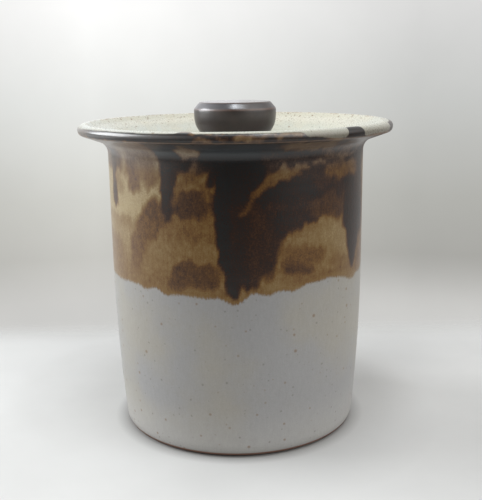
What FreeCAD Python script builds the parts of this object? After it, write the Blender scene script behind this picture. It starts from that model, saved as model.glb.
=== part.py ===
import FreeCAD, Part

import math
import os

# A wheel-thrown stoneware bean pot: a straight-sided pot with a wide trumpet rim, a lid that drops
# inside the rim onto a ledge, and a button knob luted to the middle of the lid.
# Millimetres. The origin is the middle of the foot, on the surface the pot stands on, and +Z is up.

# Foot and body of the pot
body_radius = 81.8             # outer wall once it stops widening
belly_height = 110.0           # where it stops widening
heel_setback = 5.0             # how far the wall's lower end lies inside the body
foot_chamfer_height = 3.0
foot_setback = 2.3             # from the heel in to the bare ring that the pot stands on
foot_ring_width = 13.0
foot_recess = 2.5              # how far the middle of the underside is trimmed up
wall = 6.0
floor_thickness = 7.5
floor_corner_radius = 13.0     # between the floor and the wall, inside

# Trumpet rim and its lip
lip_radius = 100.0             # widest circle of the whole pot
lip_height = 194.2             # height of that circle
lip_band_drop = 3.1            # from the widest circle down to the lower arris of the lip
lip_band_setback = 0.9         # how far that arris lies inside the widest circle
crest_setback = 5.0            # from the widest circle in to the top of the lip
crest_rise = 3.1
lip_root_setback = 9.2         # from the widest circle in to where the lip meets the trumpet
flare_angle = 20.0             # slope of the trumpet above the horizontal, degrees
throat_radius = 8.4            # outer curve between the body and the trumpet

# Ledge inside the neck
ledge_width = 5.5
ledge_edge_height = 3.0
ledge_undercut = 5.5           # height of the slope under the ledge
ledge_below_throat = 4.6       # from where the neck starts to flare down to the ledge

# Lid
lid_gap = 1.3                  # all round, between the lid's edge and the neck
lid_thickness = 6.0
lid_dome = 4.3                 # rise of the lid from its edge to its flat middle
lid_edge_rounding = 2.0
lid_seat_overhang = 3.5        # how far the flat rim of the underside reaches inside the ledge

# Knob
knob_radius = 26.4
knob_height = 24.7
knob_top_radius = 22.6
knob_bevel_height = 4.4
knob_band_height = 3.0         # the nearly upright band at the widest place
knob_side_taper = 3.5          # how far the side comes in below that band
knob_undercut_height = 4.7     # from the waist up to where the side begins
knob_waist_radius = 17.5
knob_foot_height = 1.8         # the upright foot below the waist
knob_seat_margin = 1.0         # flat of the lid that shows round the knob's foot

axis_start = FreeCAD.Vector(0, 0, 0)
axis_direction = FreeCAD.Vector(0, 0, 1)


def point(radius, height):
    return FreeCAD.Vector(radius, 0, height)


def line(start, end):
    return Part.LineSegment(start, end).toShape()


def arc(start, middle, end):
    return Part.Arc(start, middle, end).toShape()


def on_circle(centre, radius, degrees):
    turn = math.radians(degrees)
    return centre + point(radius * math.cos(turn), radius * math.sin(turn))


def circle_arc(centre, radius, start_degrees, end_degrees):
    middle_degrees = (start_degrees + end_degrees) / 2
    return arc(
        on_circle(centre, radius, start_degrees),
        on_circle(centre, radius, middle_degrees),
        on_circle(centre, radius, end_degrees),
    )


def smooth_curve(points, tangents):
    curve = Part.BSplineCurve()
    curve.interpolate(Points=points, Tangents=tangents, TangentFlags=[True] * len(points))
    return curve.toShape()


def turned(edges):
    """Turns a closed outline round the pot's axis into one solid."""
    face = Part.Face(Part.Wire(edges))
    return face.revolve(axis_start, axis_direction, 360)


def ends(edge):
    return edge.firstVertex(True).Point, edge.lastVertex(True).Point


def joined(pieces):
    """Lists the pieces of an outline in order, with a straight line across each gap between them."""
    edges = []
    for i, piece in enumerate(pieces):
        edges.append(piece)
        gap_start = ends(piece)[1]
        gap_end = ends(pieces[(i + 1) % len(pieces)])[0]
        if gap_start.distanceToPoint(gap_end) > 1e-6:
            edges.append(line(gap_start, gap_end))
    return edges


# Heights and radii that follow from the driving dimensions
slope = math.radians(flare_angle)
throat_sweep = 90 - flare_angle
arris = point(lip_radius - lip_band_setback, lip_height - lip_band_drop)
throat_centre_radius = body_radius + throat_radius
flare_start_radius = throat_centre_radius - throat_radius * math.sin(slope)
flare_rise = (arris.x - flare_start_radius) * math.tan(slope)
throat_height = arris.z - flare_rise - throat_radius * math.cos(slope)
throat_centre = point(throat_centre_radius, throat_height)
neck_radius = body_radius - wall
foot_radius = body_radius - heel_setback - foot_setback
ledge_height = throat_height - ledge_below_throat
ledge_radius = neck_radius - ledge_width
floor_height = foot_recess + floor_thickness
lid_radius = neck_radius - lid_gap
lid_edge_top = ledge_height + lid_thickness
lid_top = lid_edge_top + lid_dome
knob_seat_radius = knob_waist_radius + knob_seat_margin


# The outer wall widens from the heel on one long arc that ends upright at the belly.
widening_height = belly_height - foot_chamfer_height
wall_arc_radius = (heel_setback**2 + widening_height**2) / (2 * heel_setback)
wall_arc_centre = point(body_radius - wall_arc_radius, belly_height)


def wall_radius(height, offset=0.0):
    """Radius of the wall arc at a height, moved inwards by offset."""
    reach = wall_arc_radius - offset
    return wall_arc_centre.x + math.sqrt(reach**2 - (belly_height - height) ** 2)


def wall_arc(low, high, offset=0.0):
    middle = (low + high) / 2
    return arc(
        point(wall_radius(low, offset), low),
        point(wall_radius(middle, offset), middle),
        point(wall_radius(high, offset), high),
    )


def make_pot():
    heel = wall_arc(foot_chamfer_height, belly_height)
    outer_throat = circle_arc(throat_centre, throat_radius, 180, 180 - throat_sweep)
    inner_throat = circle_arc(throat_centre, throat_radius + wall, 180 - throat_sweep, 180)
    throat_top = ends(inner_throat)[0]
    root_radius = lip_radius - lip_root_setback
    root = point(root_radius, throat_top.z + (root_radius - throat_top.x) * math.tan(slope))
    crest = point(lip_radius - crest_setback, lip_height + crest_rise)
    widest = point(lip_radius, lip_height)
    lip = smooth_curve(
        [arris, widest, crest, root],
        [
            point(lip_band_setback, lip_band_drop),
            point(0, crest_rise),
            point(-crest_setback, 0),
            point(-math.cos(slope), -math.sin(slope)),
        ],
    )
    ledge_bottom = ledge_height - ledge_edge_height
    ledge_top = line(point(neck_radius, ledge_height), point(ledge_radius, ledge_height))
    ledge_slope = line(
        point(ledge_radius, ledge_bottom),
        point(neck_radius, ledge_bottom - ledge_undercut),
    )
    corner_top = floor_height + floor_corner_radius
    inner_wall = wall_arc(belly_height, corner_top, wall)
    corner_start = ends(inner_wall)[1]
    corner_centre = point(corner_start.x - floor_corner_radius, corner_top)
    floor_corner = circle_arc(corner_centre, floor_corner_radius, 0, -90)
    recess_radius = foot_radius - foot_ring_width
    underside = line(point(0, foot_recess), point(recess_radius - foot_recess, foot_recess))
    foot_ring = line(point(recess_radius, 0), point(foot_radius, 0))
    outline = joined(
        [
            foot_ring,
            heel,
            outer_throat,
            lip,
            inner_throat,
            ledge_top,
            ledge_slope,
            inner_wall,
            floor_corner,
            line(point(0, floor_height), point(0, foot_recess)),
            underside,
        ]
    )
    return turned(outline)


def make_lid():
    # Both domes leave the flat middle level, so halfway out they have fallen by a quarter.
    half_way_fall = lid_dome / 4
    down = FreeCAD.Vector(0, 0, -lid_thickness)
    flat_edge = point(knob_seat_radius, lid_top)
    top_edge = point(lid_radius - lid_edge_rounding, lid_edge_top)
    top_middle = point((top_edge.x + flat_edge.x) / 2, lid_top - half_way_fall)
    seat_edge = point(ledge_radius - lid_seat_overhang, ledge_height)
    under_middle = point((seat_edge.x + flat_edge.x) / 2, lid_top - half_way_fall) + down
    edge_centre = point(lid_radius - lid_edge_rounding, lid_edge_top - lid_edge_rounding)
    outline = joined(
        [
            circle_arc(edge_centre, lid_edge_rounding, 0, 90),
            arc(top_edge, top_middle, flat_edge),
            line(point(0, lid_top), point(0, lid_top - lid_thickness)),
            arc(flat_edge + down, under_middle, seat_edge),
            line(seat_edge, point(lid_radius, ledge_height)),
        ]
    )
    return turned(outline)


def make_knob():
    bottom = lid_top
    top = bottom + knob_height
    band_top = top - knob_bevel_height
    band_bottom = band_top - knob_band_height
    waist = point(knob_waist_radius, bottom + knob_foot_height)
    turn_in = point(knob_radius - knob_side_taper, waist.z + knob_undercut_height)
    # The side leaves the waist almost level, turns up steeply and ends upright at the band.
    side = smooth_curve(
        [waist, turn_in, point(knob_radius, band_bottom)],
        [point(2, 1), point(1, 2), point(0, 1)],
    )
    outline = joined(
        [
            line(point(0, bottom), point(knob_waist_radius, bottom)),
            side,
            line(point(knob_radius, band_top), point(knob_top_radius, top)),
            line(point(0, top), point(0, bottom)),
        ]
    )
    return turned(outline)


os.makedirs("parts", exist_ok=True)
pieces = {
    "pot": make_pot(),
    "lid": make_lid(),
    "knob": make_knob(),
}
for name, shape in pieces.items():
    shape.exportStep(f"parts/{name}.step")
    box = shape.BoundBox
    print(name, shape.isValid(), len(shape.Solids), round(shape.Volume / 1000, 1), "cm3", box)
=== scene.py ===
import math
import random

import bpy
import numpy as np
from mathutils import Matrix, Vector


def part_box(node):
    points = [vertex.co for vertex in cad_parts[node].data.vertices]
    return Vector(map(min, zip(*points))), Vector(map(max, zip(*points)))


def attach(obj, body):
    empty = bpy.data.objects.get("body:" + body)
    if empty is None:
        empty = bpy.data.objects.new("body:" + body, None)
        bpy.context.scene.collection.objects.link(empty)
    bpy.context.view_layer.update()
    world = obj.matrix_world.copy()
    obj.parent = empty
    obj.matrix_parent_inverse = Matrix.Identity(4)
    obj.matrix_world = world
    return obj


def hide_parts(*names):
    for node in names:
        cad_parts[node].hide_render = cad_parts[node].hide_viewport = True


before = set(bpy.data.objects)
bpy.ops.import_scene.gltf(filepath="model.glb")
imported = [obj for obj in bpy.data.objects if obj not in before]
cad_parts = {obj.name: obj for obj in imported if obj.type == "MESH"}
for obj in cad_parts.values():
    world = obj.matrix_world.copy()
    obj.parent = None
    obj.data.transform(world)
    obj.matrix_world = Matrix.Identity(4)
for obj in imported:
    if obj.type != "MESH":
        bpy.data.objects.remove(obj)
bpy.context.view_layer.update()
mm = 0.001


# Shader building

class Flow:
    # one output of a node tree; arithmetic on it adds Math nodes
    def __init__(self, glaze, socket):
        self.glaze, self.socket = glaze, socket

    def maths(self, operation, first, second=0.0):
        settings = {"operation": operation}
        return self.glaze.add("ShaderNodeMath", settings, {0: first, 1: second})

    def __add__(self, other):
        return self.maths("ADD", self, other)

    def __sub__(self, other):
        return self.maths("SUBTRACT", self, other)

    def __rsub__(self, other):
        return self.maths("SUBTRACT", other, self)

    def __mul__(self, other):
        return self.maths("MULTIPLY", self, other)

    def __neg__(self):
        return self * -1.0

    def __abs__(self):
        return self.maths("ABSOLUTE", self)

    def atLeast(self, other):
        return self.maths("MAXIMUM", self, other)

    def atMost(self, other):
        return self.maths("MINIMUM", self, other)

    __radd__ = __add__
    __rmul__ = __mul__


class Glaze:
    # a material's node tree, or a world's
    def __init__(self, name, owner=None):
        self.owner = owner or bpy.data.materials.new(name)
        self.owner.use_nodes = True
        self.tree = self.owner.node_tree
        self.tree.nodes.clear()

    def add(self, kind, settings=None, sockets=None, output=0):
        node = self.tree.nodes.new(kind)
        for name, value in (settings or {}).items():
            if name == "stops":
                fillRamp(node.color_ramp, value)
            else:
                setattr(node, name, value)
        for name, value in (sockets or {}).items():
            if isinstance(value, Flow):
                self.tree.links.new(value.socket, node.inputs[name])
            else:
                node.inputs[name].default_value = value
        return Flow(self, node.outputs[output]) if node.outputs else node

    def step(self, value, low, high):
        # 0 at low, 1 at high, smooth between
        settings = {"interpolation_type": "SMOOTHSTEP"}
        return self.add("ShaderNodeMapRange", settings, {0: value, 1: low, 2: high, 3: 0.0, 4: 1.0})

    def band(self, value, stops):
        # comes in from the first stop to the second and goes out from the third to the fourth
        start, full, fading, end = stops
        return self.step(value, start, full) * self.step(-value, -end, -fading)

    def near(self, value, middle, full, reach):
        # 1 up to full away from a middle, 0 beyond reach
        return self.step(-abs(value - middle), -reach, -full)

    def noise(self, place, scale, detail, roughness):
        sockets = {"Vector": place, "Scale": scale, "Detail": detail, "Roughness": roughness}
        return self.add("ShaderNodeTexNoise", None, sockets)

    def blend(self, factor, first, second):
        return self.add("ShaderNodeMix", {"data_type": "RGBA"}, {0: factor, 6: first, 7: second}, 2)

    def fade(self, factor, first, second):
        return self.add("ShaderNodeMix", {"data_type": "FLOAT"}, {0: factor, 2: first, 3: second}, 0)

    def tint(self, factor, first, second):
        settings = {"data_type": "RGBA", "blend_type": "MULTIPLY"}
        return self.add("ShaderNodeMix", settings, {0: factor, 6: first, 7: second}, 2)

    def vector(self, operation, first, second=(0.0, 0.0, 0.0), output=0):
        settings = {"operation": operation}
        return self.add("ShaderNodeVectorMath", settings, {0: first, 1: second}, output)

    def stretch(self, place, factor):
        return self.add("ShaderNodeVectorMath", {"operation": "SCALE"}, {0: place, "Scale": factor})

    def join(self, x, y, z):
        return self.add("ShaderNodeCombineXYZ", None, {0: x, 1: y, 2: z})

    def paint(self, name):
        # a value that the mesh carries
        return self.add("ShaderNodeAttribute", {"attribute_name": name}, None, "Fac")

    def split(self, place, axes="xyz"):
        return [self.add("ShaderNodeSeparateXYZ", None, {0: place}, "xyz".index(axis)) for axis in axes]

    def ramp(self, value, stops):
        return self.add("ShaderNodeValToRGB", {"stops": stops}, {0: value})

    def bump(self, height, distance, strength):
        sockets = {"Height": height, "Distance": distance, "Strength": strength}
        return self.add("ShaderNodeBump", None, sockets)

    def surface(self, sockets):
        shader = self.add("ShaderNodeBsdfPrincipled", None, sockets)
        self.add("ShaderNodeOutputMaterial", None, {0: shader})
        return self.owner


def fillRamp(ramp, stops):
    while len(ramp.elements) < len(stops):
        ramp.elements.new(0.5)
    for element, (position, colour) in zip(ramp.elements, stops):
        element.position = position
        element.color = solid(colour)


def solid(colour):
    # a colour, or a grey given as one number, with alpha
    red, green, blue = colour if isinstance(colour, tuple) else (colour,) * 3
    return (red, green, blue, 1.0)


# Turned meshes: an outline is a list of (radius, height) in millimetres, from the axis round to the axis

def arcPoints(centre, radius, fromDegrees, toDegrees, count=24):
    turns = [math.radians(fromDegrees + (toDegrees - fromDegrees) * i / count) for i in range(count + 1)]
    return [(centre[0] + radius * math.cos(t), centre[1] + radius * math.sin(t)) for t in turns]


def curvePoints(start, startPull, endPull, end, count=24):
    points = []
    for i in range(count + 1):
        t = i / count
        weights = ((1 - t) ** 3, 3 * t * (1 - t) ** 2, 3 * t * t * (1 - t), t ** 3)
        corners = (start, startPull, endPull, end)
        points.append(tuple(sum(w * c[k] for w, c in zip(weights, corners)) for k in (0, 1)))
    return points


def evenly(points, gap):
    # the same line with points a fixed gap apart
    path = np.array(points, float)
    lengths = np.concatenate([[0.0], np.cumsum(np.hypot(*np.diff(path, axis=0).T))])
    keep = np.concatenate([[True], np.diff(lengths) > 1e-6])
    path, lengths = path[keep], lengths[keep]
    stops = np.linspace(0.0, lengths[-1], int(lengths[-1] / gap) + 1)
    return np.column_stack([np.interp(stops, lengths, path[:, k]) for k in (0, 1)]), stops


def softened(path, gap, softness):
    # rounds every corner of an outline by blurring it along its length
    reach = int(4 * softness / gap)
    weights = np.exp(-0.5 * (np.arange(-reach, reach + 1) * gap / softness) ** 2)
    weights /= weights.sum()
    before = 2 * path[0] - path[reach:0:-1]
    after = 2 * path[-1] - path[-2:-reach - 2:-1]
    padded = np.vstack([before, path, after])
    soft = np.column_stack([np.convolve(padded[:, k], weights, "valid") for k in (0, 1)])
    soft[0, 0] = soft[-1, 0] = 0.0
    return soft


def turnedMesh(name, outline, plan, relief, paints):
    gap = 0.2       # between the points that the outline is measured at
    path, along = evenly(outline, gap)
    path = softened(path, gap, plan["softness"])
    starts, rowGaps = zip(*plan["rowGaps"])
    density = 1.0 / np.array(rowGaps)[np.searchsorted(starts, along, "right") - 1] * gap
    rows = np.concatenate([[0.0], np.cumsum(density)[:-1]])
    stops = np.linspace(0.0, rows[-1], int(rows[-1]) + 1)
    radius, height, along = (np.interp(stops, rows, v) for v in (path[:, 0], path[:, 1], along))
    segments = plan["segments"]
    slopeR, slopeZ = np.gradient(radius), np.gradient(height)
    length = np.hypot(slopeR, slopeZ)
    normalR, normalZ = slopeZ / length, -slopeR / length
    turn = np.arange(segments) * 2 * math.pi / segments
    inner = slice(1, -1)
    lift = relief(turn[None, :], along[inner, None], radius[inner, None], height[inner, None])
    ringR = radius[inner, None] + normalR[inner, None] * lift
    ringZ = height[inner, None] + normalZ[inner, None] * lift
    ringR, ringZ = np.broadcast_arrays(ringR, ringZ)
    rings = np.stack([ringR * np.sin(turn), -ringR * np.cos(turn), ringZ], -1).reshape(-1, 3)
    places = np.vstack([[[0.0, 0.0, height[0]]], rings, [[0.0, 0.0, height[-1]]]]) * mm
    count = len(radius) - 2
    first = 1 + np.arange(count - 1)[:, None] * segments
    here = np.arange(segments)[None, :]
    after = (here + 1) % segments
    corners = [first + here, first + after, first + segments + after, first + segments + here]
    quads = np.stack(corners, -1)
    last = len(places) - 1
    lastRing = 1 + (count - 1) * segments
    faces = quads.reshape(-1, 4).tolist()
    faces += [(0, 1 + (i + 1) % segments, 1 + i) for i in range(segments)]
    faces += [(last, lastRing + i, lastRing + (i + 1) % segments) for i in range(segments)]
    mesh = bpy.data.meshes.new(name)
    mesh.from_pydata(places.tolist(), [], faces)
    alongAll = np.concatenate([[along[0]], np.repeat(along[inner], segments), [along[-1]]])
    turnAll = np.concatenate([[0.0], np.tile(np.degrees(turn), count), [0.0]])
    for paint, brush in paints.items():
        values = brush(turnAll, alongAll).astype(np.float32)
        mesh.attributes.new(paint, "FLOAT", "POINT").data.foreach_set("value", values)
    layOut(mesh, alongAll / along[-1], segments, last)
    mesh.shade_smooth()
    piece = bpy.data.objects.new(name, mesh)
    bpy.context.scene.collection.objects.link(piece)
    return piece


def layOut(mesh, share, segments, last):
    # a flat map: round the piece to the right, along its outline upwards
    corners = np.empty(len(mesh.loops), np.int32)
    mesh.loops.foreach_get("vertex_index", corners)
    starts = np.empty(len(mesh.polygons), np.int32)
    mesh.polygons.foreach_get("loop_start", starts)
    faceOf = np.repeat(np.arange(len(starts)), np.diff(np.append(starts, len(corners))))
    column = (corners - 1) % segments
    lowest = np.full(len(starts), segments)
    pole = (corners == 0) | (corners == last)
    np.minimum.at(lowest, faceOf, np.where(pole, segments, column))
    widest = np.zeros(len(starts), int)
    np.maximum.at(widest, faceOf, np.where(pole, 0, column))
    wraps = (widest - lowest > 1)[faceOf]
    column = np.where(wraps & (column == 0), segments, column).astype(float)
    middle = np.where(widest - lowest > 1, segments - 0.5, lowest + 0.5)[faceOf]
    column = np.where(pole, middle, column)
    flat = np.column_stack([column / segments, share[corners]])
    mesh.uv_layers.new(name="OFBake").uv.foreach_set("vector", flat.astype(np.float32).ravel())


def wander(turn, along, degrees, length, seed):
    # smooth noise from -1 to 1 that closes on itself round the pot, with lumps this wide and this long
    draw = np.random.default_rng(seed)
    columns = round(360 / degrees)
    reach = 600     # millimetres along the outline
    lumps = draw.uniform(-1, 1, (columns, int(reach / length)))
    u, v = (turn % 360) * columns / 360, along / length + 2
    left, low = np.floor(u).astype(int), np.floor(v).astype(int)
    u, v = (w * w * (3 - 2 * w) for w in (u - left, v - low))
    left, right = left % columns, (left + 1) % columns
    lower = lumps[left, low] * (1 - u) + lumps[right, low] * u
    upper = lumps[left, low + 1] * (1 - u) + lumps[right, low + 1] * u
    return lower * (1 - v) + upper * v


def smoothStep(value, low, high):
    share = np.clip((value - low) / (high - low), 0, 1)
    return share * share * (3 - 2 * share)


def ripples(value, length, seed):
    # an uneven wave along a value, between -1 and 1
    draw = random.Random(seed)
    waves = 4
    total = 0.0
    for _ in range(waves):
        period = length * draw.uniform(0.6, 1.7)
        total = total + np.sin(value * 2 * math.pi / period + draw.uniform(0, 6.3))
    return total / waves


def throwingRings(turn, height, rings):
    # the fingers' marks climb as they go round
    return ripples(height + turn * rings["climb"], rings["gap"], rings["seed"]) * rings["depth"]


def fadeIn(value, start, length):
    # 0 up to a start, 1 from this much further on
    return np.clip((value - start) / length, 0, 1)


# The pot

pot = {
    "bodyRadius": 81.8,
    "bellyHeight": 110.0,      # where the wall stops widening
    "heelSetback": 5.0,
    "footSetback": 2.3,
    "footHeight": 3.0,
    "footRingWidth": 13.0,
    "footRecess": 2.5,
    "floorThickness": 7.5,
    "floorCorner": 13.0,
    "wall": 6.0,
    "throatRadius": 8.4,
    "flareDegrees": 20.0,
    "lipBandDrop": 3.1,
    "lipBandSetback": 0.9,
    "crestSetback": 5.0,
    "crestRise": 3.1,
    "lipRootSetback": 9.2,
    "ledgeWidth": 5.5,
    "ledgeEdge": 3.0,
    "ledgeUndercut": 5.5,
    "softness": 0.45,
    "segments": 384,
    # how far apart the rows of the mesh are, from so far along the outline on
    "rowGaps": [(0, 3.5), (165, 1.25), (270, 0.7), (310, 3.6)],
    "outsideEnd": 275.0,       # just short of the lip, along the outline from the axis
    "insideStart": 330.0,      # under the ledge
    "insideTop": 160.0,        # height at which the rings inside stop
    "rings": {"gap": 9.0, "climb": 0.9, "depth": 0.035, "seed": 3},     # left by the fingers, outside
    "insideRings": {"gap": 12.0, "climb": 1.4, "depth": 0.35, "seed": 8},
    "outOfRound": 0.12,
    "backSeed": 12,
    "greyGlaze": (0.305, 0.295, 0.272),
    "greyCool": (0.280, 0.282, 0.298),
    "greyWarm": (0.325, 0.302, 0.258),
    "greyLow": (0.385, 0.376, 0.362),      # just above the foot
    "cream": (0.562, 0.570, 0.500),
    "creamWarm": (0.615, 0.585, 0.478),
    # greyer cream for the left of the rim, also painted lighter than the cream on the right, as light and
    # shade
    "creamGreyLit": (0.655, 0.683, 0.645),
    "creamThinShaded": (0.20, 0.182, 0.145),     # where it thins over the front of the lip, also painted darker as the shade on that face
    "rust": (0.185, 0.105, 0.05),
    "speck": (0.085, 0.07, 0.055),
    "cobalt": (0.14, 0.20, 0.34),
    "breakTan": (0.30, 0.19, 0.11),        # where the glazes break over an edge
    "clay": (0.34, 0.21, 0.155),
    "shadedFootClay": (0.21, 0.115, 0.082),     # the clay on the edge of the foot, darker, and painted darker still as the shade where it tucks under
    "slateSheen": (0.043, 0.047, 0.050),        # the dark glaze where it pools under the rim, painted lighter and bluer as the floor's reflection
    "iron": [                              # the brown glaze, from thin to thick
        (0.00, (0.345, 0.272, 0.150)),
        (0.15, (0.228, 0.156, 0.070)),
        (0.30, (0.176, 0.103, 0.036)),
        (0.43, (0.140, 0.070, 0.021)),
        (0.56, (0.096, 0.045, 0.016)),
        (0.69, (0.063, 0.030, 0.014)),
        (0.81, (0.039, 0.0185, 0.0115)),
        (0.91, (0.026, 0.0140, 0.0105)),
        (1.00, (0.0175, 0.0180, 0.0180)),
    ],
    # spots in the glaze: spacing, share of the places that have one, radius, strength, colour
    "greySpecks": [
        (5.6, 0.7, 1.0, 0.62, "rust"),
        (3.6, 0.5, 0.7, 0.40, "speck"),
        (31.0, 0.35, 0.9, 0.5, "cobalt"),
    ],
    "creamSpecks": [(4.0, 0.6, 0.9, 0.7, "rust"), (2.4, 0.4, 0.5, 0.6, "speck")],
    "rimSpecks": [(2.1, 0.6, 0.75, 0.75, "rust")],
    # places along the outline, in millimetres from the foot's edge; four together are the stops of a band
    "footLine": 3.2,                       # where the glaze starts
    "darkened": (-1.5, 0.5, 6.0, 8.0),        # the edge of the foot, where the clay is painted in shade
    "brownEdge": 104.5,                    # where the brown glaze ends, on average
    "wallGloss": (150.0, 176.0, 202.0, 205.0),
    "underRim": (172.0, 182.0, 202.0, 203.5),     # the underside of the flare
    # where the pooled dark glaze carries the painted reflection of the floor
    "poolSheen": (181.0, 186.0, 198.0, 203.0),
    "lipFront": (200.0, 202.0, 205.0, 211.5),     # where the cream is thin, and painted in shade
    "lipEdge": 202.9,                      # its lower arris
    "lipGloss": (203.6, 205.2, 211.0, 214.5),
    "creamEdge": 208.6,                    # where the cream glaze starts on the lip
    "farRim": (211.0, 214.0, 222.0, 232.0),       # warmer at the back, with more rust
    "crest": 213.4,
    "ledge": 249.6,                        # its bare middle
    # how far the edge of the brown glaze dips: bearing, half width in degrees, dip
    "brownDips": [
        (-1, 8, 5.5),
        (-30, 8, 1.3),
        (-18, 16, 1.8),
        (38, 24, -3.5),
        (59, 8, 1.4),
        (80, 14, -3.0),
        (143, 9, 6.0),
        (184, 30, -3.0),
        (231, 12, 5.0),
    ],
    # how far the cream glaze laps over the lip: from one bearing to another, softness, lap
    "creamLaps": [
        (22.0, 69, 1.2, 3.2),
        (29, 69, 4, 1.5),
        (38.8, 46.4, 0.8, -7.6),
        (-115, -64, 8.0, 1.6),
        (69, 92, 2.0, -1.5),
        (128, 164, 2.0, 4.8),
        (215, 224, 1.0, -4.0),
    ],
    "creamNotch": (-16, 3.5, 5.0),         # bearing, half width, depth
}


def potOutline():
    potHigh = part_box("pot")[1]
    lipRadius = potHigh.x / mm
    crestHeight = potHigh.z / mm
    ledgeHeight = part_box("lid")[0].z / mm
    slope = math.radians(pot["flareDegrees"])
    widest = (lipRadius, crestHeight - pot["crestRise"])
    arris = (lipRadius - pot["lipBandSetback"], widest[1] - pot["lipBandDrop"])
    throatX = pot["bodyRadius"] + pot["throatRadius"]
    flareX = throatX - pot["throatRadius"] * math.sin(slope)
    throatZ = arris[1] - (arris[0] - flareX) * math.tan(slope) - pot["throatRadius"] * math.cos(slope)
    throat = (throatX, throatZ)
    neck = pot["bodyRadius"] - pot["wall"]
    footRadius = pot["bodyRadius"] - pot["heelSetback"] - pot["footSetback"]
    recessRadius = footRadius - pot["footRingWidth"]
    floor = pot["footRecess"] + pot["floorThickness"]
    wallHeight = pot["bellyHeight"] - pot["footHeight"]
    wallArc = (pot["heelSetback"] ** 2 + wallHeight ** 2) / (2 * pot["heelSetback"])
    wallCentre = (pot["bodyRadius"] - wallArc, pot["bellyHeight"])
    sweep = math.degrees(math.asin(wallHeight / wallArc))
    innerArc = wallArc - pot["wall"]
    cornerTop = floor + pot["floorCorner"]
    innerSweep = math.degrees(math.asin((pot["bellyHeight"] - cornerTop) / innerArc))
    innerFoot = wallCentre[0] + innerArc * math.cos(math.radians(innerSweep))
    cornerCentre = (innerFoot - pot["floorCorner"], cornerTop)
    top = 90 + pot["flareDegrees"]
    innerFlare = arcPoints(throat, pot["throatRadius"] + pot["wall"], top, 180)
    rootX = lipRadius - pot["lipRootSetback"]
    root = (rootX, innerFlare[0][1] + (rootX - innerFlare[0][0]) * math.tan(slope))
    crest = (lipRadius - pot["crestSetback"], crestHeight)
    outline = [(0.0, pot["footRecess"]), (recessRadius - pot["footRecess"], pot["footRecess"])]
    outline += [(recessRadius, 0.0), (footRadius, 0.0)]
    outline += arcPoints(wallCentre, wallArc, -sweep, 0, 60)
    outline += arcPoints(throat, pot["throatRadius"], 180, top)
    outline += [arris]
    # the lip; the pulls say how far each curve runs on before it bends
    arrisPull, rootPull = (0.6, 1.2), 1.6
    shortPull, longPull = 0.4, 0.55
    outline += curvePoints(
        arris,
        (arris[0] + arrisPull[0], arris[1] + arrisPull[1]),
        (widest[0], widest[1] - pot["lipBandDrop"] * shortPull),
        widest,
    )
    outline += curvePoints(
        widest,
        (widest[0], widest[1] + pot["crestRise"] * longPull),
        (crest[0] + pot["crestSetback"] * longPull, crest[1]),
        crest,
    )
    outline += curvePoints(
        crest,
        (crest[0] - pot["crestSetback"] * shortPull, crest[1]),
        (root[0] + rootPull * math.cos(slope), root[1] + rootPull * math.sin(slope)),
        root,
    )
    outline += innerFlare
    outline += [(neck, ledgeHeight), (neck - pot["ledgeWidth"], ledgeHeight)]
    ledgeFoot = ledgeHeight - pot["ledgeEdge"]
    outline += [(neck - pot["ledgeWidth"], ledgeFoot), (neck, ledgeFoot - pot["ledgeUndercut"])]
    outline += arcPoints(wallCentre, innerArc, 0, -innerSweep, 60)
    outline += arcPoints(cornerCentre, pot["floorCorner"], 0, -90)
    outline += [(0.0, floor)]
    return outline


def footAlong():
    # how far along the outline the edge of the foot lies
    outline = potOutline()[:4]
    return sum(math.dist(a, b) for a, b in zip(outline, outline[1:]))


def potPiece():
    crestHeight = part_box("pot")[1].z / mm

    def relief(turn, along, radius, height):
        # the rings fade out towards the rim and the foot, and inside towards the floor
        steady = fadeIn(-height, 12 - crestHeight, 20) * fadeIn(height, 3, 12)
        outside = (along < pot["outsideEnd"]) * steady
        inside = (along > pot["insideStart"]) * fadeIn(height, 14, 12) * (height < pot["insideTop"])
        oval = np.sin(2 * turn + 0.7) * pot["outOfRound"]
        rings = throwingRings(turn, height, pot["rings"])
        fingers = throwingRings(turn, height, pot["insideRings"])
        return (rings + oval) * outside - abs(fingers) * inside

    paints = {
        "along": lambda turn, along: along,
        "iron": ironPaint,
        "brown": brownPaint,
        "cream": creamPaint,
    }
    piece = turnedMesh("potBody", potOutline(), pot, relief, paints)
    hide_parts("pot")
    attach(piece, "pot")
    piece.data.materials.append(potGlaze())


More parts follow.
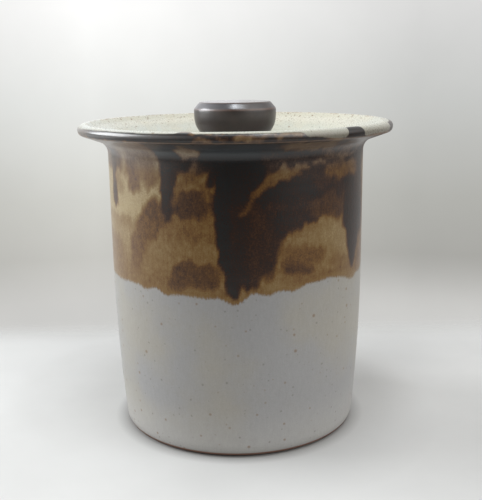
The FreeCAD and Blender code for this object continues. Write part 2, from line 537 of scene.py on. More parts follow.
# Runs of the brown glaze: where each starts and ends, as (degrees round the pot from the front,
# millimetres along the wall from the foot), its half width at both ends, how soft its edge is,
# and how dark it ends up, from 0 for straw to 1 for black.
frontRuns = [
    ((-84, 160), (-40, 158), 15, 13, 9, 0.05),       # straw and amber grounds
    ((-84, 133), (-54, 131), 11, 10, 12, 0.15),
    ((-84, 111), (-32, 109), 6, 5, 7, 0.34),
    ((-84, 124), (-64, 122), 12, 10, 9, 0.36),
    ((-43, 112), (-27, 129), 3.2, 3.6, 5, 0.28),
    ((-27, 128), (-11, 128), 3.6, 3.4, 5, 0.30),
    ((-28, 142), (-11, 142), 7, 8, 9, 0.37),
    ((-21, 141), (-17, 137), 3.5, 3, 7, 0.46),
    ((26.5, 129), (40, 133), 8, 11, 5, 0.23),
    ((40, 131), (47, 130), 11, 11, 6, 0.20),
    ((46, 135), (52, 124), 7, 5, 6, 0.16),
    ((22, 127), (36, 125), 5, 5, 6, 0.47),
    ((68, 118), (84, 130), 11, 16, 8, 0.46),
    ((-84, 186), (-50, 186), 13, 13, 5, 0.50),
    ((-50, 186), (-34, 186), 13, 13.5, 5, 0.22),       # the dark glaze under the rim
    ((-35, 189), (-26, 192), 7, 14, 7, 0.40),
    ((-23, 192), (22, 192), 15.5, 18, 6, 0.94),
    ((18, 186), (46, 186), 12, 12, 5, 0.80),
    ((44, 190), (84, 188), 12, 14, 5, 0.62),
    ((-70, 180), (-60, 181), 6, 6, 5, 0.56),
    ((-64.5, 182), (-64.7, 154.5), 4.6, 4.2, 2.2, 0.74),
    ((-47.8, 180), (-46.8, 166), 6.2, 5.2, 5, 0.52),
    ((-40, 184), (-37.2, 170.5), 6.5, 5.2, 6, 0.44),
    ((-54.5, 175.5), (-54.2, 171), 1.6, 1.6, 2.5, 0.16),
    ((-61, 169), (-57, 162), 3.0, 3.4, 6, 0.21),
    ((-35.2, 152), (-39.5, 141), 7.6, 8.0, 6, 0.60),
    ((-40.5, 141), (-46, 129), 7.0, 6.5, 7, 0.52),
    ((-46, 129), (-47, 119), 6.0, 5.4, 6, 0.48),
    ((-28.2, 184), (-28.4, 155), 5.6, 4.2, 2, 0.93),
    ((-28.4, 155), (-29, 148), 3.4, 1.8, 3, 0.90),
    ((-21, 157), (-14.5, 157), 8.0, 8.8, 4.5, 0.71),
    ((-24.4, 158), (-23.4, 167), 1.3, 2.0, 3.0, 0.38),
    ((-23.4, 167), (-18.5, 173.5), 2.2, 2.6, 3.0, 0.37),
    ((-18.5, 173.5), (-12.5, 168), 2.6, 2.6, 3.0, 0.39),
    ((-12.5, 168), (-10.6, 157), 1.8, 1.2, 3.0, 0.42),
    ((-17.2, 175), (-16.6, 180), 2.6, 1.8, 4, 0.50),
    ((-9, 183), (-10.2, 167), 3.4, 1.8, 3, 0.95),
    ((-24.5, 181), (-25.8, 169), 2.8, 1.4, 3, 0.88),
    ((-21, 187), (-16, 186.8), 3.3, 3.4, 3, 0.22),
    ((-27, 110.5), (-22, 114.5), 5.0, 7.0, 5, 0.56),
    ((-22, 115), (-12, 114.5), 8.2, 7.5, 5, 0.62),
    ((-3.0, 186), (-4.6, 125), 8.4, 4.8, 2.0, 1.0),
    ((0.5, 165), (-1, 112), 3.0, 3.6, 4, 0.87),
    ((-3.6, 124), (-1.4, 106), 6.2, 3.4, 2.5, 0.96),
    ((-1, 184), (6, 172), 13, 9, 4, 1.0),
    ((4, 170), (1, 158), 8, 4, 5, 0.97),
    ((13, 163), (41, 163), 8.0, 8.5, 5, 0.95),
    ((36, 168), (48, 167), 5, 5, 5, 0.82),
    ((28, 173), (44, 175), 3.5, 3.5, 4, 0.86),
    ((8, 153), (32, 154), 7.5, 7.5, 4, 0.95),
    ((30, 152), (37, 151), 6.0, 4.5, 4, 0.86),
    ((4, 150), (4, 115), 8.0, 7.0, 5, 0.84),
    ((15, 148), (10, 121), 10.0, 7.0, 6, 0.84),
    ((19, 146), (27, 149.5), 7.6, 6.0, 4.5, 0.92),
    ((27, 151.5), (33, 152.5), 6.5, 6.0, 5, 0.89),
    ((34, 152.5), (48, 152.5), 5.6, 5.4, 6, 0.72),
    ((2, 150), (1, 112), 5.0, 4.0, 7, 0.93),
    ((30, 175.8), (19, 174.6), 1.2, 2.9, 2.8, 0.40),
    ((19, 174.6), (13, 169.5), 3.0, 3.0, 2.8, 0.36),
    ((13, 169.5), (7.5, 161), 2.8, 2.0, 3.0, 0.46),
    ((7.5, 161), (1.5, 151), 1.7, 0.9, 2.6, 0.56),
    ((21, 118), (31, 116), 4.0, 3.4, 6, 0.66),
    ((20, 111.5), (50, 112), 2.8, 2.6, 5, 0.37),
    ((43, 119.5), (51, 117), 2.8, 2.4, 6, 0.35),
    ((38, 153), (49, 152), 7.0, 8.0, 5, 0.70),
    ((48.5, 160), (52, 168), 4.0, 4.0, 4, 0.86),
    ((64, 174), (66, 140), 12, 12, 6, 0.84),
    ((57.2, 176), (57, 140), 7.5, 8.0, 3, 0.92),
    ((61.2, 142), (60.3, 128), 14.5, 8.8, 3, 0.91),
    ((60.3, 128), (59.4, 112), 8.8, 2.0, 3, 0.90),
    ((41, 172.5), (61, 173.5), 4.0, 4.6, 4, 0.48),
    ((33, 178.5), (39, 178), 1.1, 0.9, 2, 0.42),
    ((47, 181), (60, 181), 0.9, 0.9, 2, 0.44),
    ((-30, 195), (22, 195), 5.5, 5.5, 9, 0.84),      # under the flare
    ((-18, 190), (-18.5, 197), 2.6, 1.2, 4, 0.38),
    ((21, 194), (36, 194), 7.0, 7.0, 6, 0.40),
    ((39, 199), (45, 186), 3.0, 3.0, 5, 0.80),
    ((50, 194), (86, 193), 10.0, 10.0, 6, 0.60),
    # darker at the far right under the flare: painted shade, holding down the light from the right
    ((68, 197), (86, 196), 6.0, 8.0, 6, 0.85),
    ((-84, 197), (-50, 196), 7.5, 7.5, 7, 0.36),
    ((-50, 196), (-38, 195), 8.5, 6.5, 9, 0.40),
    ((-60, 206.5), (22, 206.5), 3.8, 3.8, 1.6, 0.97),     # the front of the lip
    # lighter at the far left of the lip: painted reflection of the light from the left
    ((-100, 207), (-62, 207), 5.0, 4.0, 4, 0.74),
    ((-12.5, 206), (-9, 206), 1.8, 1.8, 2, 0.50),
    ((-6, 206.5), (-3.5, 206.5), 1.6, 1.6, 2, 0.66),
    ((0.5, 206.3), (5, 206.5), 2.0, 2.0, 2.5, 0.33),
    ((7.5, 206), (12, 206.5), 2.0, 1.6, 2.5, 0.58),
    ((14, 207), (21, 207.5), 1.9, 1.7, 2, 0.38),
    ((13, 204), (23, 204), 1.3, 1.0, 1, 0.86),
    ((39.5, 206.5), (46, 206.5), 5.0, 5.0, 3.0, 0.96),
    ((70, 207), (92, 207), 4.0, 4.0, 2, 0.9),
]


def backRuns():
    # the far side carries runs of the same kinds, thrown about by a seeded draw
    draw = random.Random(pot["backSeed"])
    runs = []
    for start, end, startWidth, endWidth, softness, level in frontRuns:
        turn, drop = draw.uniform(-5, 5), draw.uniform(-6, 6)
        share = draw.uniform(0.8, 1.3)
        if start[1] > 182:     # what starts under the rim stays put
            turn, drop, share = 0.0, 0.0, 1.0
        start = (start[0] + turn, start[1] + drop * 0.3)
        end = (end[0] + turn, end[1] + drop)
        level = min(1.0, max(0.0, level + draw.uniform(-0.07, 0.07)))
        runs.append((start, end, startWidth * share, endWidth * share, softness * 1.2, level))
    return runs


def around(turn, centre):
    # degrees from a bearing, -180 to 180
    return (turn - centre + 180) % 360 - 180


def swell(turn, degrees, halfWidth):
    # 1 at a bearing, falling smoothly to 0 at halfWidth degrees from it
    return smoothStep(-abs(around(turn, degrees)), -halfWidth, 0)


def plateau(turn, fromDegrees, toDegrees, softness):
    # 1 between two bearings
    reach = (toDegrees - fromDegrees) / 2
    return smoothStep(reach - abs(around(turn, fromDegrees + reach)), -softness, softness)


def ironPaint(turn, along):
    # how dark the brown glaze is: each run is a capsule, laid over the ones before it
    degree = math.radians(pot["bodyRadius"])
    along = along - footAlong()
    cloud = wander(turn, along, 9, 13, seed=5)
    sideways = wander(turn, along, 7, 12, seed=1) + wander(turn, along, 2.5, 5, seed=2) * 0.8
    down = wander(turn, along, 5, 16, seed=3) * 1.1 + wander(turn, along, 1.9, 9, seed=4) * 2.2
    iron = 0.28 + cloud * 0.08
    for centre, runs in ((0, frontRuns), (180, backRuns())):
        across = around(turn, centre) * degree + sideways
        height = along + down
        for (startTurn, startAlong), (endTurn, endAlong), startWidth, endWidth, softness, level in runs:
            wayAcross, wayAlong = (endTurn - startTurn) * degree, endAlong - startAlong
            gapAcross, gapAlong = across - startTurn * degree, height - startAlong
            square = wayAcross ** 2 + wayAlong ** 2
            share = np.clip((gapAcross * wayAcross + gapAlong * wayAlong) / square, 0, 1)
            gap = np.hypot(gapAcross - wayAcross * share, gapAlong - wayAlong * share)
            width = startWidth + (endWidth - startWidth) * share
            cover = smoothStep(width - gap, -softness / 2, softness / 2)
            iron = iron + (level - iron) * cover
    return iron


def brownPaint(turn, along):
    # millimetres above the lower edge of the brown glaze
    edge = pot["brownEdge"] + wander(turn, along * 0, 6, 50, seed=6) * 1.1
    for bearing, halfWidth, dip in pot["brownDips"]:
        edge = edge - swell(turn, bearing, halfWidth) * dip
    return along - footAlong() - edge


def creamPaint(turn, along):
    # millimetres past the edge of the cream glaze on the lip
    edge = pot["creamEdge"] + wander(turn, along * 0, 6, 50, seed=7) * 0.35
    for fromDegrees, toDegrees, softness, lap in pot["creamLaps"]:
        edge = edge - plateau(turn, fromDegrees, toDegrees, softness) * lap
    bearing, halfWidth, depth = pot["creamNotch"]
    return along - footAlong() - edge - swell(turn, bearing, halfWidth) * depth


def specks(glaze, place, spacing, share, radius):
    # round spots in the glaze, all in millimetres; share is how many of the places have one
    sockets = {"Vector": place, "Scale": 1.0 / spacing, "Randomness": 1.0}
    gap = glaze.add("ShaderNodeTexVoronoi", None, sockets, "Distance")
    tone = glaze.add("ShaderNodeTexVoronoi", None, sockets, "Color")
    chance = glaze.add("ShaderNodeSeparateColor", None, {0: tone}, 0)
    reach = (chance - (1.0 - share)) * (radius / share)
    edge = radius * 0.45
    inside = glaze.step(reach - gap * spacing, -edge, edge)
    return inside * glaze.step(chance, 1.0 - share, 1.0 - share * 0.9)


def speckled(glaze, place, colour, kinds, where=1.0):
    # lays each kind of spot over a colour
    for spacing, share, radius, strength, name in kinds:
        spots = specks(glaze, place, spacing, share, radius) * strength * where
        colour = glaze.blend(spots, colour, solid(pot[name]))
    return colour


def potGlaze():
    glaze = Glaze("potGlaze")
    place = glaze.add("ShaderNodeTexCoord", None, None, "Object")
    x, y = glaze.split(place, "xy")
    bits = glaze.stretch(place, 1.0 / mm)
    along = glaze.paint("along") - footAlong()
    ring = glaze.stretch(glaze.vector("NORMALIZE", glaze.join(x, y, 0.0)), pot["bodyRadius"])
    level = glaze.vector("ADD", ring, glaze.join(0.0, 0.0, along))
    # noise on this one runs down the wall
    drawn = glaze.vector("ADD", ring, glaze.join(0.0, 0.0, along * 0.17))

    feathery = glaze.noise(drawn, 0.8, 3.0, 0.6) - 0.5
    cloudy = glaze.noise(level, 0.075, 3.0, 0.6) - 0.5
    mottled = glaze.noise(level, 0.28, 3.0, 0.65) - 0.5
    grain = glaze.noise(level, 1.1, 2.0, 0.7) - 0.5

    # brown glaze, greyer under the rim and on the lip, slate where it pools; under the rim the paler grey
    # is partly a painted sheen, and the slate a painted reflection of the floor
    iron = glaze.paint("iron")
    middling = iron * (1.0 - iron) * 4.0
    iron = iron + cloudy * 0.10 + (mottled * 0.50 + feathery * 0.28) * middling
    iron = iron + grain * (glaze.step(iron, 0.25, 0.75) * 0.36 + 0.34)
    brown = glaze.ramp(iron, pot["iron"])
    underRim = glaze.band(along, pot["underRim"])
    # paler and greyer under the flare, partly a painted sheen of reflected light; greyer on the lip as the
    # glaze's own tone
    paler = (underRim * 0.85).atLeast(glaze.step(along, *pot["underRim"][2:]) * 0.4)
    greyed = {"Saturation": 0.62, "Value": 1.18, "Fac": paler, "Color": brown}
    brown = glaze.add("ShaderNodeHueSaturation", None, greyed)
    # painted reflection of the floor, laid as bluish grey where the dark glaze pools under the flare
    pooledSheen = glaze.band(along, pot["poolSheen"]) * glaze.step(iron, 0.60, 0.88)
    brown = glaze.blend(pooledSheen, brown, solid(pot["slateSheen"]))

    # grey glaze below
    film = glaze.noise(bits, 0.018, 2.0, 0.5) + mottled * 0.15
    grey = glaze.blend(glaze.step(film, 0.35, 0.62), solid(pot["greyWarm"]), solid(pot["greyCool"]))
    grey = glaze.blend(0.45, grey, solid(pot["greyGlaze"]))
    grey = glaze.blend(glaze.step(-along, -40.0, -4.0) * 0.8, grey, solid(pot["greyLow"]))
    shade = 0.5 + feathery * 0.35 + grain * 0.5 + mottled * 0.3
    grey = glaze.tint(1.0, grey, glaze.ramp(shade, [(0.25, 0.90), (0.75, 1.08)]))
    grey = speckled(glaze, bits, grey, pot["greySpecks"])

    # cream glaze over the lip and inside
    # the rim greyer on the left and painted lighter there, darker on the right: painted light and shade
    cream = glaze.blend(glaze.step(x, -0.085, 0.0), solid(pot["creamGreyLit"]), solid(pot["cream"]))
    warmer = glaze.step(cloudy + mottled * 0.4, -0.15, 0.3) * 0.7
    cream = glaze.blend(warmer, cream, solid(pot["creamWarm"]))
    farRim = glaze.band(along, pot["farRim"]) * glaze.step(y, -0.01, 0.05)
    cream = glaze.blend(farRim * 0.6, cream, solid(pot["creamWarm"]))
    cream = glaze.tint(1.0, cream, glaze.ramp(0.5 + grain * 0.8, [(0.25, 0.92), (0.75, 1.04)]))
    # the cream thin over the front of the lip, and painted darker there as its shade
    cream = glaze.blend(glaze.band(along, pot["lipFront"]) * 0.96, cream, solid(pot["creamThinShaded"]))
    cream = speckled(glaze, bits, cream, pot["creamSpecks"])
    cream = speckled(glaze, bits, cream, pot["rimSpecks"], farRim)

    # where each glaze starts and stops
    depth = glaze.paint("brown") + feathery * 3.6 + mottled * 1.5 + grain * 1.5
    isBrown = glaze.step(depth, -0.8, 1.4)
    isCream = glaze.step(glaze.paint("cream") + feathery * 0.8 + mottled * 0.8, -0.5, 0.6)
    onEdge = glaze.near(along, pot["lipEdge"], 0.1, 0.7) * (0.36 + mottled)
    onCrest = glaze.near(along - feathery, pot["crest"], 0.1, 1.2)
    onCrest = onCrest * glaze.step(mottled + cloudy * 0.5, -0.02, 0.14)
    broken = (onEdge + onCrest * 0.6).atMost(1.0).atLeast(0.0)
    underSide = glaze.step(-along, -pot["footLine"] - 0.5, -pot["footLine"] + 0.5)
    isClay = underSide.atLeast(glaze.near(along, pot["ledge"], 4.3, 4.9))

    colour = glaze.blend(isBrown, grey, brown)
    fringe = isBrown * glaze.step(-depth, -5.0, -0.5)
    amber = pot["iron"][2][1]
    colour = glaze.blend(fringe * 0.45, colour, solid(amber))
    colour = glaze.blend(isCream, colour, cream)
    colour = glaze.blend(broken, colour, solid(pot["breakTan"]))
    clay = glaze.tint(1.0, solid(pot["clay"]), glaze.ramp(0.5 + grain, [(0.2, 0.8), (0.8, 1.15)]))
    # the foot's edge: the clay's own darker colour, with painted shade
    clay = glaze.blend(glaze.band(along, pot["darkened"]), clay, solid(pot["shadedFootClay"]))
    colour = glaze.blend(isClay, colour, clay)

    # duller under the flare, far out on the right
    duller = glaze.step(x, 0.079, 0.087) * glaze.step(along, 184.0, 194.0) * 0.25
    duller = underRim * (duller + glaze.step(x, 0.074, 0.082) * 0.15)
    roughness = 0.42 - isBrown * 0.12 - isCream * 0.02 + grain * 0.12 + duller
    roughness = glaze.fade(isClay, roughness, 0.8)
    height = feathery * isBrown * 0.6 + grain * 0.5 + mottled * 0.8 + isBrown * 1.2
    normal = glaze.bump(height, 0.0002, 0.5)
    # glassy where the brown lies thick: on the lip, and high on the left of the wall
    onLip = glaze.band(along, pot["lipGloss"]) * glaze.step(abs(x), 0.004, 0.012)
    onLip = onLip * glaze.step(-x, -0.055, -0.045) * 0.92
    onWall = glaze.band(along, pot["wallGloss"]) * glaze.step(-x, 0.02, 0.065) * 0.45
    glossy = onLip.atLeast(onWall) * (1.0 - isCream)
    sockets = {"Base Color": colour, "Roughness": roughness, "Normal": normal, "IOR": 1.42}
    sockets |= {"Coat Weight": glossy, "Coat Roughness": 0.24, "Coat IOR": 1.6}
    return glaze.surface(sockets)


# The lid

lid = {
    "thickness": 6.0,
    "seatRadius": 18.5,      # flat middle that carries the knob
    "edgeRounding": 2.0,
    "seatInner": 66.8,       # the flat rim underneath starts here
    "softness": 0.4,
    "segments": 240,
    "rowGaps": [(0, 1.3)],
    "ringGap": 5.5,          # the spiral that the fingers left
    "ringDepth": 0.10,
    "specks": [(5.0, 0.45, 1.0, 0.75, "rust"), (2.6, 0.3, 0.5, 0.6, "speck")],
    "paleClay": (0.33, 0.21, 0.14),
    "bareRadius": 66.0,      # the clay is bare from here out
    "bareHeight": 2.0,       # and this far up from the seat
}


def lidOutline():
    low, high = (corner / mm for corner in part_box("lid"))
    radius = high.x
    edgeTop = low.z + lid["thickness"]
    dome = high.z - edgeTop
    inner, outer = lid["seatRadius"], radius - lid["edgeRounding"]

    def domed(fromRadius, toRadius, edge, level, count=30):
        points = []
        for i in range(count + 1):
            r = fromRadius + (toRadius - fromRadius) * i / count
            points.append((r, level - dome * ((r - inner) / (edge - inner)) ** 2))
        return points

    under = high.z - lid["thickness"]
    outline = [(0.0, under)] + domed(inner, lid["seatInner"], lid["seatInner"], under)
    outline += [(radius, low.z)]
    outline += arcPoints((outer, edgeTop - lid["edgeRounding"]), lid["edgeRounding"], 0, 90, 10)
    outline += domed(outer, inner, outer, high.z)
    outline += [(0.0, high.z)]
    return outline


def lidPiece():
    def relief(turn, along, radius, height):
        # the spiral starts outside the knob and ends before the edge
        spiral = np.sin(radius * 2 * math.pi / lid["ringGap"] - turn) * lid["ringDepth"]
        return -abs(spiral) * fadeIn(radius, 20, 10) * fadeIn(-radius, -70, 6)

    piece = turnedMesh("lidDisc", lidOutline(), lid, relief, {})
    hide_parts("lid")
    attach(piece, "lid")
    piece.data.materials.append(lidGlaze())


def lidGlaze():
    glaze = Glaze("lidGlaze")
    place = glaze.add("ShaderNodeTexCoord", None, None, "Object")
    bits = glaze.stretch(place, 1.0 / mm)
    x, y, z = glaze.split(bits)
    radius = glaze.vector("LENGTH", glaze.join(x, y, 0.0), output=1)
    cloudy = glaze.noise(bits, 0.05, 3.0, 0.6)
    grain = glaze.noise(bits, 1.2, 2.0, 0.6)
    colour = glaze.blend(glaze.step(cloudy, 0.3, 0.7), solid(pot["cream"]), solid(pot["creamWarm"]))
    colour = speckled(glaze, bits, colour, lid["specks"])
    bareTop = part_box("lid")[0].z / mm + lid["bareHeight"]
    bare = glaze.step(radius, lid["bareRadius"] - 0.5, lid["bareRadius"] + 0.5)
    bare = bare * glaze.step(-z, -bareTop - 0.4, -bareTop + 0.4)
    clay = glaze.blend(glaze.step(grain, 0.3, 0.7), solid(pot["clay"]), solid(lid["paleClay"]))
    colour = glaze.blend(bare, colour, clay)
    roughness = 0.36 + bare * 0.45 + (grain - 0.5) * 0.1
    normal = glaze.bump(grain * 0.4 + cloudy, 0.0003, 0.4)
    return glaze.surface({"Base Color": colour, "Roughness": roughness, "Normal": normal, "IOR": 1.5})


# The knob

knob = {
    "topRadius": 22.6,
    "bevelHeight": 4.4,
    "bandHeight": 3.0,
    "sideTaper": 2.8,
    "undercutHeight": 4.7,
    "waistRadius": 17.5,
    "footHeight": 1.8,
    "softness": 0.75,
    "segments": 200,
    "rowGaps": [(0, 0.6)],
    "outOfRound": 0.10,
    "dark": (0.034, 0.028, 0.027),
    "brown": (0.052, 0.040, 0.036),
    "rust": (0.16, 0.075, 0.04),
    "leftSheen": (0.082, 0.078, 0.080),   # painted reflection on the left of the bevel
    "darkened": (0.25, 0.07, 0.10),     # darker and redder towards the lid
    "darkenedFrom": 7.0,                # so far below the top it starts
    "darkenedTo": 15.0,                 # and here it is full
    "coatTint": (0.93, 0.93, 1.0),
}


def knobOutline():
    low, high = (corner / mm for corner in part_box("knob"))
    radius = high.x
    bandTop = high.z - knob["bevelHeight"]
    band = (radius, bandTop - knob["bandHeight"])
    waist = (knob["waistRadius"], low.z + knob["footHeight"])
    turnIn = (radius - knob["sideTaper"], waist[1] + knob["undercutHeight"])
    # the two curves of the side leave and reach their ends along lines to these points
    outOfWaist = (waist[0] + 2.2, waist[1] + 1.1)
    intoTurn = (turnIn[0] - 1.4, turnIn[1] - 2.6)
    outOfTurn = (turnIn[0] + 1.9, turnIn[1] + 3.0)
    intoBand = (radius, band[1] - 5.2)
    outline = [(0.0, low.z), (knob["waistRadius"], low.z)]
    outline += curvePoints(waist, outOfWaist, intoTurn, turnIn)
    outline += curvePoints(turnIn, outOfTurn, intoBand, band)
    outline += [(radius, bandTop), (knob["topRadius"], high.z), (0.0, high.z)]
    return outline


def knobPiece():
    def relief(turn, along, radius, height):
        # pressed a little out of round, less near the lid and the axis
        pressed = -abs(np.sin(turn + 0.5)) * knob["outOfRound"]
        return pressed * fadeIn(height, 180, 12) * fadeIn(radius, 0, 20)

    piece = turnedMesh("knobButton", knobOutline(), knob, relief, {})
    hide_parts("knob")
    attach(piece, "lid")
    piece.data.materials.append(knobGlaze())


def knobGlaze():
    glaze = Glaze("knobGlaze")
    place = glaze.add("ShaderNodeTexCoord", None, None, "Object")
    bits = glaze.stretch(place, 1.0 / mm)
    x, y, z = glaze.split(bits)
    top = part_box("knob")[1].z / mm
    bevelFoot = top - knob["bevelHeight"]
    cloudy = glaze.noise(bits, 0.12, 3.0, 0.6)
    grain = glaze.noise(bits, 1.6, 2.0, 0.6) - 0.5
    browner = glaze.step(cloudy + grain * 0.3, 0.3, 0.8)
    colour = glaze.blend(browner, solid(knob["dark"]), solid(knob["brown"]))
    topFace = glaze.step(z, top - 0.25, top - 0.05)
    bevel = glaze.step(z, bevelFoot - 0.8, bevelFoot + 0.4)
    # painted reflection: the left of the bevel lighter, as if it caught the light from the left
    leftSheen = bevel * glaze.step(-x, 1.0, 7.0) * (1.0 - topFace)
    colour = glaze.blend(leftSheen, colour, solid(knob["leftSheen"]))
    # rust where the glaze breaks over the two edges of the bevel
    radius = glaze.vector("LENGTH", glaze.join(x, y, 0.0), output=1)
    arris = glaze.near(z, bevelFoot, 0.2, 1.0)
    rim = glaze.near(radius, knob["topRadius"], 0.1, 0.9) * glaze.step(z, top - 1.2, top - 0.4)
    broken = (arris + rim).atMost(1.0) * (0.35 + grain * 0.8)
    colour = glaze.blend(broken, colour, solid(knob["rust"]))
    darkened = glaze.step(-z, knob["darkenedFrom"] - top, knob["darkenedTo"] - top)
    colour = glaze.tint(darkened, colour, solid(knob["darkened"]))
    roughness = glaze.fade(topFace, 0.31, 0.10) + grain * 0.06
    normal = glaze.bump(grain * 0.5 + cloudy, 0.0003, 0.35)
    glossy = bevel * (0.82 + grain * 0.9 - glaze.step(x, 0.0, 6.0) * 0.62)
    sockets = {"Base Color": colour, "Roughness": roughness, "Normal": normal, "IOR": 1.55}
    sockets |= {"Coat Weight": glossy, "Coat Roughness": 0.26, "Coat IOR": 1.7}
    sockets["Coat Tint"] = solid(knob["coatTint"])
    return glaze.surface(sockets)


# Stage, lights and camera

stage = {
    "floorColour": (0.78, 0.78, 0.77),
    "floorRadius": 1.2,
    # painted light and shade on the paper: left to right, front to back, painted shade out from the foot,
    # and a painted contact shadow close to the foot
    "floorAcross": [(0.28, 0.98), (0.40, 1.0), (0.48, 0.94), (0.64, 1.00), (0.78, 1.09), (0.90, 0.80)],
    "floorDepth": [(0.26, 0.85), (0.40, 0.93), (0.48, 0.93), (0.58, 0.82), (0.66, 0.74)],
    "floorNearShade": [(0.36, 0.80), (0.50, 0.87), (0.68, 1.0)],
    "floorContactShadow": [(0.372, 0.50), (0.385, 0.70), (0.425, 1.0)],
    "floorShadow": 0.16,             # how much the soft shadow behind the pot on the right takes
    "shadowWay": (0.76, 0.65),       # and where it points
    "foldLine": (0.13, 0.20),        # how far back the floor gives way to the backdrop
    "openLine": (0.36, 0.50),        # and how far out on the other sides
    "backdrop": [                    # from the bottom of the view to the top
        (0.00, (0.76, 0.76, 0.75)),
        (0.04, (0.62, 0.62, 0.605)),
        (0.11, (0.600, 0.595, 0.575)),
        (0.19, (0.525, 0.52, 0.49)),
        (0.30, (0.585, 0.585, 0.55)),
        (0.49, (0.76, 0.77, 0.75)),
        (0.66, (0.92, 0.92, 0.91)),
    ],
    "backdropAcross": [(0.05, 0.98), (0.22, 1.12), (0.5, 1.0), (0.85, 0.76)],
    "roomColour": (1.0, 0.995, 0.98),
    "roomSpread": (0.6, 0.98),       # cosine of the angle off each light: where it starts, where it is full
    "room": [                        # what lights the pot: bearing, height in degrees, level
        (-90, 20, 0.84),
        (-60, 20, 0.44),
        (60, 30, 0.98),
        (60, 50, 0.85),
        (90, 36, 0.60),
        (180, 20, 0.35),
    ],
    "lamps": [                       # name, place, target, size, power, colour
        ("window", (-1.0, 0.15, 0.58), (0, 0, 0.15), (0.75, 0.75), 12.0, (0.95, 0.98, 1.0)),
        ("ceiling", (0.0, -0.24, 1.3), (0, 0, 0.2), (0.22, 0.10), 2.0, (0.90, 0.95, 1.0)),
        ("spot", (0.26, -0.24, 1.3), (0, 0, 0.2), (0.10, 0.06), 1.1, (0.90, 0.95, 1.0)),
    ],
}


def makeFloor():
    mesh = bpy.data.meshes.new("floor")
    count = 96
    turns = [i * 2 * math.pi / count for i in range(count)]
    reach = stage["floorRadius"]
    rim = [(reach * math.cos(t), reach * math.sin(t), 0.0) for t in turns]
    mesh.from_pydata(rim, [], [range(count)])
    floor = bpy.data.objects.new("floor", mesh)
    bpy.context.scene.collection.objects.link(floor)
    paper = Glaze("paper")
    place = paper.add("ShaderNodeTexCoord", None, None, "Object")
    x, y = paper.split(place, "xy")
    distance = paper.vector("LENGTH", place, output=1)
    mottle = paper.noise(place, 14.0, 4.0, 0.6)
    shade = paper.ramp(mottle, [(0.35, 0.965), (0.65, 1.0)])
    colour = paper.tint(1.0, solid(stage["floorColour"]), shade)
    # these ramps cover 1 m from left to right, 0.67 m from front to back and 0.2 m out from the middle
    # painted light and shade: the paper lighter and darker across and from front to back
    colour = paper.tint(1.0, colour, paper.ramp(x + 0.5, stage["floorAcross"]))
    colour = paper.tint(1.0, colour, paper.ramp(y * 1.5 + 0.4, stage["floorDepth"]))
    # painted shade round the foot on the front and right, and a painted contact shadow at the foot
    colour = paper.tint(paper.step(x, -0.09, 0.0), colour, paper.ramp(distance * 5.0, stage["floorNearShade"]))
    colour = paper.tint(1.0, colour, paper.ramp(distance * 5.0, stage["floorContactShadow"]))
    # a painted soft shadow behind the pot on the right
    right, back = stage["shadowWay"]
    out, aside = x * right + y * back, x * back - y * right
    behind = paper.band(out, (0.04, 0.12, 0.15, 0.26)) * paper.near(aside, 0.0, 0.0, 0.08)
    colour = paper.tint(behind * stage["floorShadow"], colour, solid(0.0))
    sheet = paper.add("ShaderNodeBsdfDiffuse", None, {0: colour})
    clear = paper.add("ShaderNodeBsdfTransparent")
    seen = paper.add("ShaderNodeLightPath", None, None, "Is Camera Ray")
    beyond = paper.step(y, *stage["foldLine"]) * seen
    outside = paper.step(distance, *stage["openLine"]) * paper.step(-y, -0.1, 0.1)
    mixed = paper.add("ShaderNodeMixShader", None, {0: beyond.atLeast(outside), 1: sheet, 2: clear})
    paper.add("ShaderNodeOutputMaterial", None, {0: mixed})
    mesh.materials.append(paper.owner)


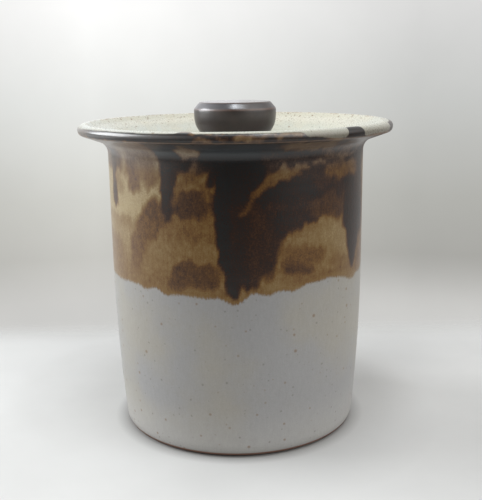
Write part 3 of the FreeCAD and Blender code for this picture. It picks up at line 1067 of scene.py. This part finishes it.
def makeWorld():
    world = bpy.data.worlds.new("studio")
    bpy.context.scene.world = world
    sky = Glaze("studio", world)
    way = sky.add("ShaderNodeTexCoord", None, None, "Generated")
    x, y, z = sky.split(way)
    # what the camera sees past the floor: a paper sweep, brighter high up and to the left
    rise = sky.ramp(z * 1.6 + 0.55, stage["backdrop"])
    side = sky.ramp(x * 1.6 + 0.5, stage["backdropAcross"])
    paper = sky.noise(way, 7.0, 4.0, 0.6)
    backdrop = sky.tint(sky.step(z, -0.30, -0.22), rise, side)
    backdrop = sky.tint(1.0, backdrop, sky.ramp(paper, [(0.35, 0.975), (0.65, 1.01)]))
    seen = sky.add("ShaderNodeBackground", None, {0: backdrop, 1: 1.0})
    # what lights the pot: light from both sides and the paper behind, a dim room in front
    level = 0.0
    for bearing, height, strength in stage["room"]:
        b, h = math.radians(bearing), math.radians(height)
        towards = (math.sin(b) * math.cos(h), -math.cos(b) * math.cos(h), math.sin(h))
        facing = sky.vector("DOT_PRODUCT", way, towards, 1)
        level = sky.step(facing, *stage["roomSpread"]) * strength + level
    light = sky.add("ShaderNodeBackground", None, {0: solid(stage["roomColour"]), 1: level})
    camera = sky.add("ShaderNodeLightPath", None, None, "Is Camera Ray")
    through = sky.add("ShaderNodeLightPath", None, None, "Is Transmission Ray")
    glossy = sky.add("ShaderNodeLightPath", None, None, "Is Glossy Ray")
    share = (camera + through + glossy * sky.step(y, 0.35, 0.7)).atMost(1.0)
    mixed = sky.add("ShaderNodeMixShader", None, {0: share, 1: light, 2: seen})
    sky.add("ShaderNodeOutputWorld", None, {0: mixed})


def addLamp(name, place, target, size, power, colour):
    light = bpy.data.lights.new(name, "AREA")
    light.shape = "RECTANGLE"
    light.size, light.size_y = size
    light.energy = power
    light.color = colour
    lamp = bpy.data.objects.new(name, light)
    bpy.context.scene.collection.objects.link(lamp)
    way = Vector(place) - Vector(target)
    lamp.matrix_world = Matrix.Translation(place) @ way.to_track_quat("Z", "Y").to_matrix().to_4x4()


view = {
    "distance": 0.5204,
    "height": 0.2306,
    "tilt": 0.225,           # radians below level
    "swing": 0.005,
    "roll": -0.014,
    "focal": 57.6,
    "sensor": 36.0,
}


def makeCamera():
    data = bpy.data.cameras.new("camera")
    data.lens = view["focal"]
    data.sensor_width = view["sensor"]
    camera = bpy.data.objects.new("camera", data)
    bpy.context.scene.collection.objects.link(camera)
    swing = Matrix.Rotation(-view["swing"], 4, "Z")
    tilt = Matrix.Rotation(math.pi / 2 - view["tilt"], 4, "X")
    roll = Matrix.Rotation(view["roll"], 4, "Z")
    place = Matrix.Translation((0.0, -view["distance"], view["height"]))
    camera.matrix_world = place @ swing @ tilt @ roll
    bpy.context.scene.camera = camera


potPiece()
print("pot thrown")
lidPiece()
print("lid thrown")
knobPiece()
print("knob turned")
makeFloor()
makeWorld()
for lamp in stage["lamps"]:
    addLamp(*lamp)
makeCamera()
bpy.context.scene.view_settings.view_transform = "Standard"
print("stage set")
